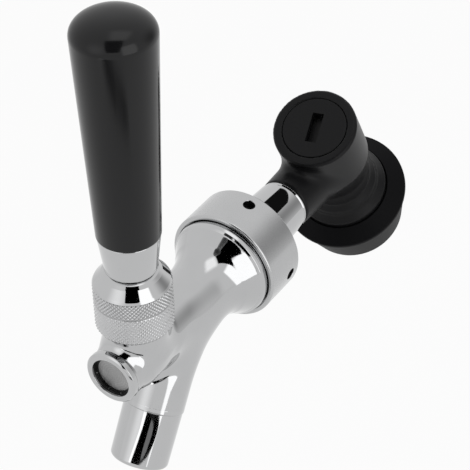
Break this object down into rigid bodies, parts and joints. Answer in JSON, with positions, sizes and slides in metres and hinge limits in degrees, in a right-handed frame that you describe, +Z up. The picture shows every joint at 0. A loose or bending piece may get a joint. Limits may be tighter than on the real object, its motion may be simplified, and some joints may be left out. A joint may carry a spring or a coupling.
{
  "type": "beer tap",
  "caption": "Lever-operated draught tap with a chromed rear-sealing body, knurled bonnet, angled spout and a black plastic quick coupler that snaps on a keg's post.",
  "frame": {"origin": "on the coupler's leaning axis, at the lower end of the bore that seals on the keg post", "axes": "+Z up along the handle at rest, +Y along the shaft from the front boss to the coupler, +X to the side"},
  "size_m": [0.0444, 0.1659, 0.1678],
  "materials": {
    "chrome_plate": "polished chrome plate; the bonnet's band is diamond knurled",
    "stainless_steel": "turned",
    "grip_plastic": "gloss black",
    "coupler_plastic": "satin black, moulded",
    "nylon": "natural nylon",
    "rubber": "matt black"
  },
  "bodies": {
    "tap": {"faucet_body": "chrome_plate", "pivot_seat": "nylon", "friction_washer": "nylon", "bonnet_nut": "chrome_plate", "coupling_gasket": "rubber", "coupling_nut": "chrome_plate", "adapter": "chrome_plate", "flare_washer": "nylon", "coupler_body": "coupler_plastic", "coupler_cap": "coupler_plastic", "cap_seal": "rubber", "poppet_spring": "stainless_steel", "sleeve_spring": "stainless_steel", "sleeve_retainer": "stainless_steel"},
    "handle": {"lever": "chrome_plate", "grip_ferrule": "chrome_plate", "grip": "grip_plastic"},
    "shaft": {"shaft": "stainless_steel", "shaft_seat": "rubber", "shaft_nut": "stainless_steel"},
    "sleeve": {"locking_sleeve": "coupler_plastic"},
    "ball_1": {"lock_ball_1": "stainless_steel"},
    "ball_2": {"lock_ball_2": "stainless_steel"},
    "ball_3": {"lock_ball_3": "stainless_steel"},
    "poppet": {"poppet": "stainless_steel", "poppet_seal": "rubber"}
  },
  "joints": [
    {"name": "handle_tilt", "type": "hinge", "parent": "tap", "child": "handle", "pos_m": [0.00114, -0.12908, 0.04521], "axis": [1, 0, 0], "range_deg": [0, 15]},
    {"name": "shaft_slide", "type": "slide", "parent": "tap", "child": "shaft", "axis": [0, 1, 0], "range_m": [0, 0.00518]},
    {"name": "sleeve_slide", "type": "slide", "parent": "tap", "child": "sleeve", "axis": [0.0395, -0.4924, 0.8695], "range_m": [0, 0.004], "stiffness_N_per_m": 800, "springref_m": -0.003, "deforming": ["sleeve_spring"]},
    {"name": "poppet_slide", "type": "slide", "parent": "tap", "child": "poppet", "axis": [0.0395, -0.4924, 0.8695], "range_m": [0, 0.003], "stiffness_N_per_m": 400, "springref_m": -0.003, "deforming": ["poppet_spring"]},
    {"name": "ball_1_slide", "type": "slide", "parent": "tap", "child": "ball_1", "axis": [-0.0223, -0.8704, -0.4919], "range_m": [0, 0.00115]},
    {"name": "ball_2_slide", "type": "slide", "parent": "tap", "child": "ball_2", "axis": [0.8763, 0.4352, 0.2067], "range_m": [0, 0.00115]},
    {"name": "ball_3_slide", "type": "slide", "parent": "tap", "child": "ball_3", "axis": [-0.854, 0.4352, 0.2852], "range_m": [0, 0.00115]}
  ],
  "couplings": [
    {"joint": "shaft_slide", "follows": "handle_tilt", "m_per_rad": 0.01977},
    {"joint": "ball_1_slide", "follows": "sleeve_slide", "ratio": 0.28},
    {"joint": "ball_2_slide", "follows": "sleeve_slide", "ratio": 0.28},
    {"joint": "ball_3_slide", "follows": "sleeve_slide", "ratio": 0.28}
  ]
}
